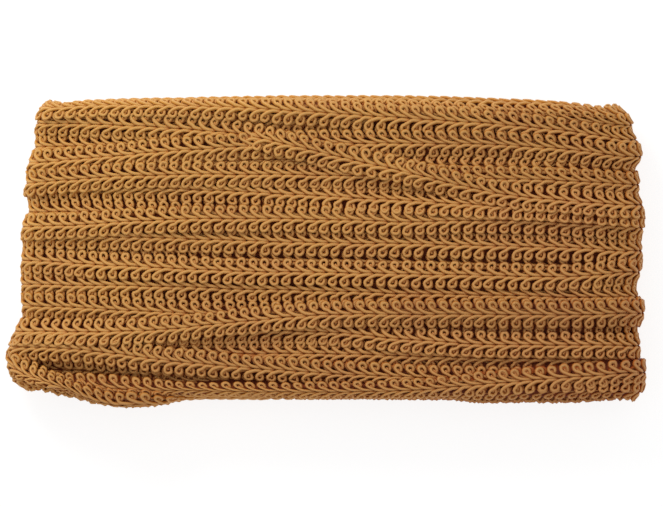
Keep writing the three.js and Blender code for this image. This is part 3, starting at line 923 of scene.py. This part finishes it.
def cord_material():
    """The dyed cord: gold passing by painted shade into brown along the pack, a painted highlight
    on its crest, painted shade in its gaps.
    """
    material, tree, shader = new_material("gold_cord")
    nodes, link = tree.nodes, tree.links.new
    # the dye in random patches, and painted shade from gold to brown over the pack, away from the
    # key lamp
    coordinate = nodes.new("ShaderNodeTexCoord")
    along = math_node(nodes, "DOT_PRODUCT", "ShaderNodeVectorMath")
    along.inputs[1].default_value = TO_SHADED_BROWN
    link(coordinate.outputs["Object"], along.inputs[0])
    patches = nodes.new("ShaderNodeTexNoise")
    patches.inputs["Scale"].default_value = PATCH_SCALE
    patches.inputs["Detail"].default_value = 3
    link(coordinate.outputs["Object"], patches.inputs["Vector"])
    shade = math_node(nodes, "MULTIPLY_ADD")
    shade.inputs[1].default_value = PATCH_SHARE
    link(patches.outputs["Fac"], shade.inputs[0])
    link(along.outputs["Value"], shade.inputs[2])
    dye_and_shade = colour_mix(nodes)
    dye_and_shade.inputs["A"].default_value = GOLD
    dye_and_shade.inputs["B"].default_value = SHADED_BROWN
    dye_and_shade.clamp_factor = True
    link(shade.outputs[0], dye_and_shade.inputs["Factor"])
    # painted highlight on the crest, by how far round the cord a point is
    uv = nodes.new("ShaderNodeUVMap")
    uv.uv_map = "UVMap"
    round_cord = nodes.new("ShaderNodeSeparateXYZ")
    link(uv.outputs["UV"], round_cord.inputs[0])
    from_top = math_node(nodes, "SUBTRACT")
    from_top.inputs[1].default_value = CORD_TOP
    link(round_cord.outputs["Y"], from_top.inputs[0])
    away = math_node(nodes, "ABSOLUTE")
    link(from_top.outputs[0], away.inputs[0])
    highlight = soft_step(nodes, HIGHLIGHT_OUT, HIGHLIGHT_IN)
    highlight.inputs["To Max"].default_value = HIGHLIGHT_SHARE
    link(away.outputs[0], highlight.inputs["Value"])
    highlighted = colour_mix(nodes)
    highlighted.inputs["B"].default_value = CREST_HIGHLIGHT
    link(highlight.outputs["Result"], highlighted.inputs["Factor"])
    link(dye_and_shade.outputs["Result"], highlighted.inputs["A"])
    # painted shade between the cords, by the depth kept on the pieces
    shade_depth = nodes.new("ShaderNodeAttribute")
    shade_depth.attribute_name = "shade_depth"
    fade = soft_step(nodes, *SHADE_FADE)
    link(shade_depth.outputs["Fac"], fade.inputs["Value"])
    gap_shade = colour_mix(nodes)
    gap_shade.inputs["B"].default_value = GAP_SHADE
    link(fade.outputs["Result"], gap_shade.inputs["Factor"])
    link(highlighted.outputs["Result"], gap_shade.inputs["A"])
    link(gap_shade.outputs["Result"], shader.inputs["Base Color"])
    # the wrapped thread, as bump
    wrap = nodes.new("ShaderNodeTexWave")
    wrap.inputs["Scale"].default_value = 1.0
    wrap.bands_direction = "X"
    stretch = nodes.new("ShaderNodeMapping")
    stretch.inputs["Scale"].default_value = WRAPPING
    link(uv.outputs["UV"], stretch.inputs["Vector"])
    link(stretch.outputs["Vector"], wrap.inputs["Vector"])
    bump = nodes.new("ShaderNodeBump")
    bump.inputs["Strength"].default_value = WRAP_STRENGTH
    bump.inputs["Distance"].default_value = WRAP_HIGH
    link(wrap.outputs["Fac"], bump.inputs["Height"])
    link(bump.outputs["Normal"], shader.inputs["Normal"])
    shader.inputs["Roughness"].default_value = 0.62
    shader.inputs["Sheen Weight"].default_value = 0.06
    shader.inputs["Sheen Roughness"].default_value = 0.45
    shader.inputs["Specular IOR Level"].default_value = 0.16
    return material


def shaded_body_material():
    """The braid deep inside: painted shade, a dark red brown, mottled like cords."""
    material, tree, shader = new_material("painted_shade_braid")
    nodes, link = tree.nodes, tree.links.new
    coordinate = nodes.new("ShaderNodeTexCoord")
    cords = nodes.new("ShaderNodeTexVoronoi")
    cords.inputs["Scale"].default_value = MOTTLE
    link(coordinate.outputs["Object"], cords.inputs["Vector"])
    ramp = nodes.new("ShaderNodeValToRGB")
    ramp.color_ramp.elements[0].color = BODY_SHADE_RAMP[0]
    ramp.color_ramp.elements[1].color = BODY_SHADE_RAMP[1]
    ramp.color_ramp.elements[1].position = DARK_FROM
    link(cords.outputs["Distance"], ramp.inputs["Fac"])
    link(ramp.outputs["Color"], shader.inputs["Base Color"])
    shader.inputs["Roughness"].default_value = 0.9
    return material


cord_finish, body_shade_finish = cord_material(), shaded_body_material()
for piece in pieces:
    piece.data.materials.clear()
    piece.data.materials.append(cord_finish)
body_mesh.materials.clear()
body_mesh.materials.append(body_shade_finish)

# %% [markdown]
# ## Floor and light
# The photograph is a cut-out on white with soft light from the upper left. A pale floor and two
# wide, soft lamps give the same: the shadow is faint, and each cord is lit on its upper left side.

# %% Floor and lamps
FLOOR_HALF, FLOOR_GREY, FLOOR_GLOW = 1.5, srgb(150, 150, 150), 0.82
WORLD_LIGHT = 0.5
floor_mesh = bpy.data.meshes.new("floor")
bm = bmesh.new()
bmesh.ops.create_grid(bm, x_segments=1, y_segments=1, size=FLOOR_HALF)
bm.to_mesh(floor_mesh)
bm.free()
floor = bpy.data.objects.new("floor", floor_mesh)
bpy.context.scene.collection.objects.link(floor)
floor_finish, _, floor_shader = new_material("pale_floor")
floor_shader.inputs["Base Color"].default_value = FLOOR_GREY
floor_shader.inputs["Emission Color"].default_value = (1, 1, 1, 1)
floor_shader.inputs["Emission Strength"].default_value = FLOOR_GLOW
floor_shader.inputs["Roughness"].default_value = 0.9
floor_mesh.materials.append(floor_finish)


def lamp(name, place, size, power):
    """A square lamp that faces the origin."""
    data = bpy.data.lights.new(name, "AREA")
    data.size = size
    data.energy = power
    light = bpy.data.objects.new(name, data)
    light.location = place
    light.rotation_euler = Vector(place).to_track_quat("Z", "Y").to_euler()
    bpy.context.scene.collection.objects.link(light)


lamp("key", place=(-0.36, 0.6, 0.46), size=0.35, power=2.95)
lamp("fill", place=(0.1, 0.2, 1.4), size=1.2, power=1.6)
world = bpy.data.worlds.new("studio")
bpy.context.scene.world = world
world.use_nodes = True
world.node_tree.nodes["Background"].inputs["Color"].default_value = (1, 1, 1, 1)
world.node_tree.nodes["Background"].inputs["Strength"].default_value = WORLD_LIGHT
bpy.context.scene.view_settings.view_transform = "Standard"

# %% [markdown]
# ## Handing the pieces to the frame
# Everything rides on the one body of the pack and stands for its one solid.

# %% Ride and replace
for piece in pieces + [body]:
    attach(piece, "root")
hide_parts("wound_braid")
for piece in pieces:
    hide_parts("wound_braid")
